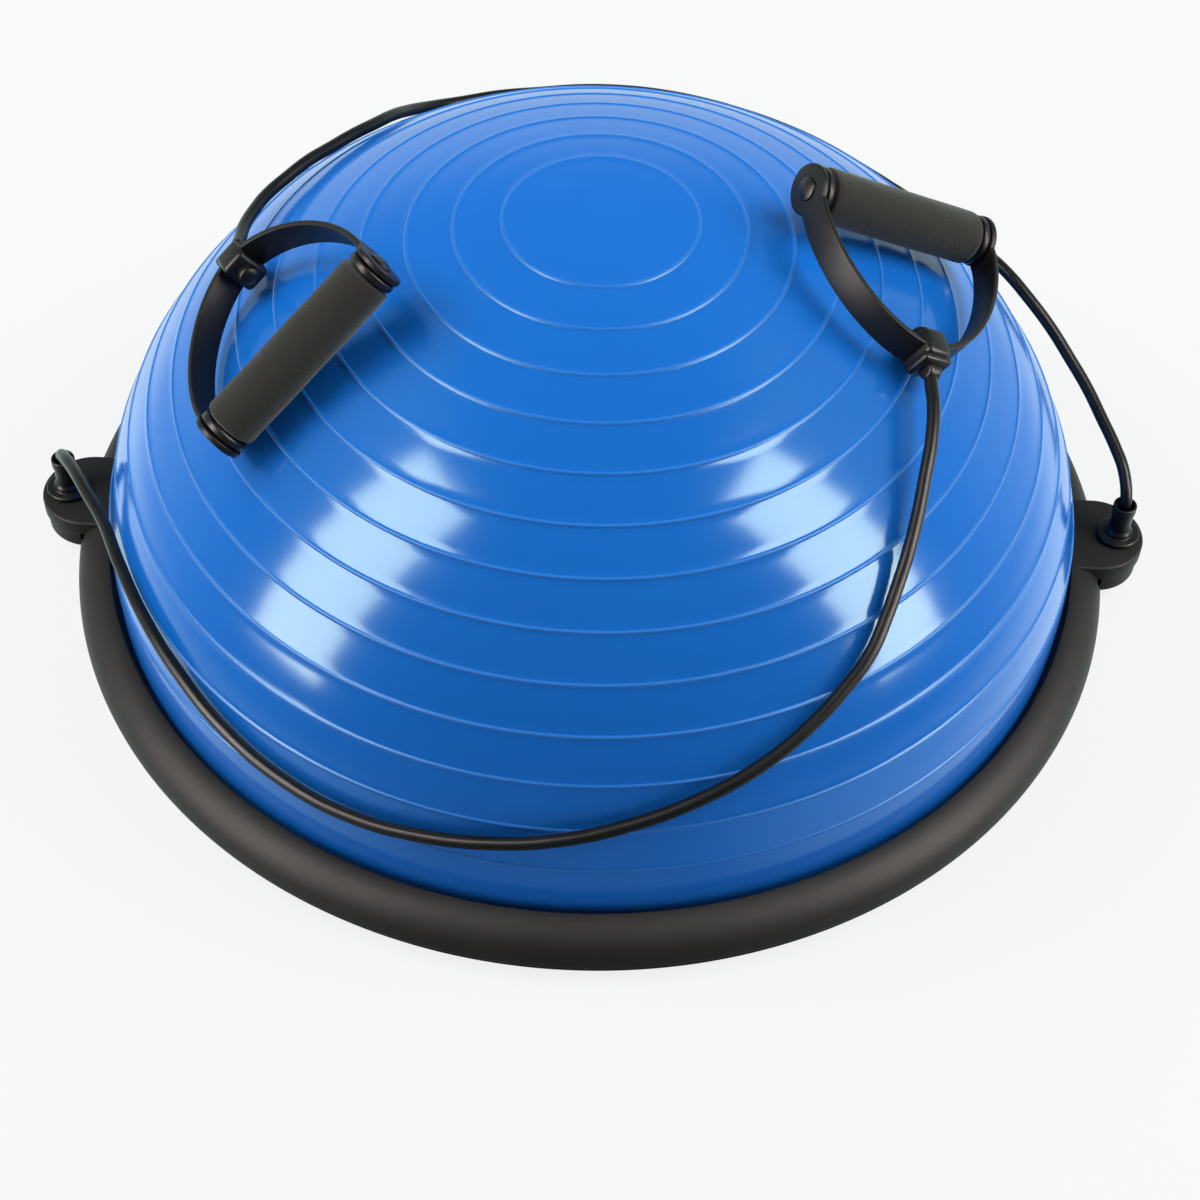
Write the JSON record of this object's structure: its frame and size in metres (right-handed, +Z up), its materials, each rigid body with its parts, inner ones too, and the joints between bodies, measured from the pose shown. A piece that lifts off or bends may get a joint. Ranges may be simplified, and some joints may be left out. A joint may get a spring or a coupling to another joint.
{
  "type": "balance dome trainer",
  "caption": "Half-ball balance trainer: a ribbed air-filled dome clamped to a round platform, with elastic pull bands that end in foam hand grips.",
  "frame": {"origin": "on the floor under the centre of the round platform", "axes": "+Z up through the crown of the dome, +X towards the right ear, the front band on the -Y side"},
  "size_m": [0.646, 0.6, 0.2754],
  "materials": {
    "ball_pvc": "glossy blue PVC",
    "rim_plastic": "satin dark grey",
    "platform_plastic": "matte dark grey",
    "zinc_steel": "zinc plated",
    "pad_rubber": "matte black",
    "valve_plastic": "off-white",
    "band_latex": "satin black",
    "fitting_plastic": "satin black",
    "strap_plastic": "satin black",
    "grip_foam": "soft matte foam"
  },
  "bodies": {
    "root": {"base_platform": "platform_plastic", "clamp_ring": "rim_plastic", "dome_membrane": "ball_pvc", "base_screws": "zinc_steel", "floor_pads": "pad_rubber", "valve_body": "valve_plastic", "front_band_tube": "band_latex", "rear_band_tube": "band_latex"},
    "valve_plug": {"valve_plug": "valve_plastic"},
    "left_anchor": {"left_anchor_post": "fitting_plastic", "left_anchor_clip": "fitting_plastic"},
    "left_handle": {"left_strap": "strap_plastic", "left_strap_pins": "fitting_plastic", "left_cord_block": "fitting_plastic", "left_cord_plug": "fitting_plastic"},
    "left_grip": {"left_grip_core": "fitting_plastic", "left_foam_grip": "grip_foam", "left_grip_caps": "fitting_plastic"},
    "right_anchor": {"right_anchor_post": "fitting_plastic", "right_anchor_clip": "fitting_plastic"},
    "right_handle": {"right_strap": "strap_plastic", "right_strap_pins": "fitting_plastic", "right_cord_block": "fitting_plastic", "right_cord_plug": "fitting_plastic"},
    "right_grip": {"right_grip_core": "fitting_plastic", "right_foam_grip": "grip_foam", "right_grip_caps": "fitting_plastic"}
  },
  "joints": [
    {"name": "left_anchor_swivel", "type": "hinge", "parent": "root", "child": "left_anchor", "pos_m": [-0.308, 0, 0.029], "axis": [0, 0, 1], "continuous": true},
    {"name": "right_anchor_swivel", "type": "hinge", "parent": "root", "child": "right_anchor", "pos_m": [0.308, 0, 0.029], "axis": [0, 0, 1], "continuous": true},
    {"name": "left_handle_lift", "type": "hinge", "parent": "root", "child": "left_handle", "pos_m": [-0.19421, 0.00685, 0.21006], "axis": [-0.6621, -0.4466, -0.6018], "range_deg": [0, 50]},
    {"name": "right_handle_lift", "type": "hinge", "parent": "root", "child": "right_handle", "pos_m": [0.17175, -0.06459, 0.21513], "axis": [0.8138, 0.2962, -0.5], "range_deg": [0, 50]},
    {"name": "left_grip_spin", "type": "hinge", "parent": "left_handle", "child": "left_grip", "pos_m": [-0.149, -0.083, 0.227], "axis": [0.6621, 0.4466, 0.6018], "continuous": true},
    {"name": "right_grip_spin", "type": "hinge", "parent": "right_handle", "child": "right_grip", "pos_m": [0.156, 0.035, 0.2325], "axis": [-0.8138, -0.2962, 0.5], "continuous": true},
    {"name": "valve_plug_pull", "type": "slide", "parent": "root", "child": "valve_plug", "axis": [0, 0, -1], "range_m": [0, 0.0065]}
  ]
}
